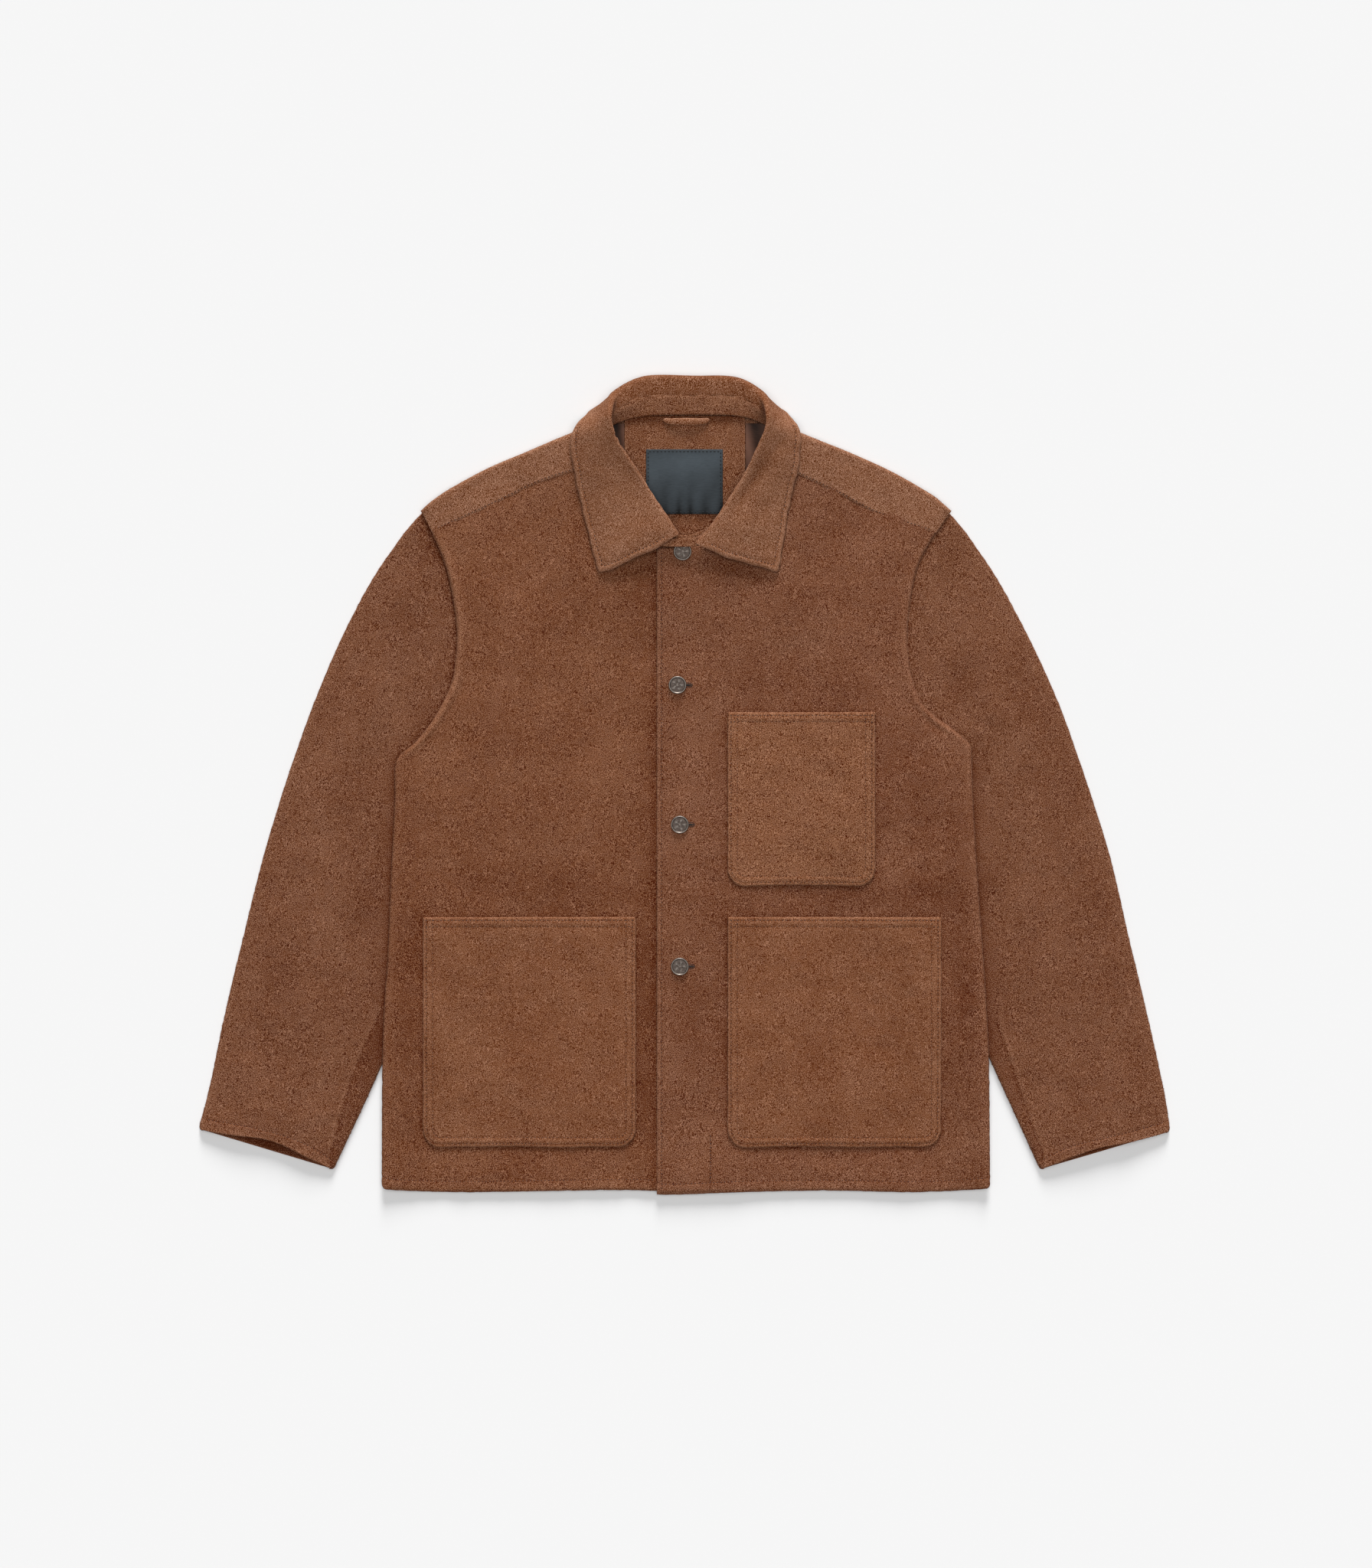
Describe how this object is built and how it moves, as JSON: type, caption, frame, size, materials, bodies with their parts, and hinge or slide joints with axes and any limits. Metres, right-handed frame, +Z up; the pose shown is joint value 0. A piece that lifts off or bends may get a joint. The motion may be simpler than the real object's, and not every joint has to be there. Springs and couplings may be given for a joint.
{
  "type": "suede coat",
  "caption": "Thigh-length suede work coat laid flat on its back, buttoned, with turned-down collar, patch pockets and sleeves folded beside the body.",
  "frame": {"origin": "middle of the coat's outline on the surface it lies on", "axes": "+X across the coat to the wearer's left, +Y up the coat from hem to collar, +Z up from the surface"},
  "size_m": [0.9292, 0.7827, 0.0321],
  "materials": {
    "suede_shell": "brushed matt suede, warm mid brown",
    "suede_collar": "brushed matt suede, slightly lighter brown",
    "suede_pockets": "brushed matt suede, warm mid brown",
    "suede_facing": "brushed matt suede, seen from inside",
    "lining": "smooth dark brown satin",
    "label": "dark blue-grey satin",
    "buttons": "dark aged metal with a bright worn rim"
  },
  "bodies": {
    "root": {"back": "suede_shell", "front_left": "suede_shell", "front_right": "suede_shell", "sleeve_left": "suede_shell", "sleeve_right": "suede_shell", "collar_fall": "suede_collar", "collar_stand": "suede_collar", "pocket_chest": "suede_pockets", "pocket_lower_left": "suede_pockets", "pocket_lower_right": "suede_pockets", "back_facing": "suede_facing", "hanger_loop": "suede_facing", "lining_left": "lining", "lining_right": "lining", "label": "label", "button_1": "buttons", "button_2": "buttons", "button_3": "buttons", "button_4": "buttons"}
  },
  "joints": []
}
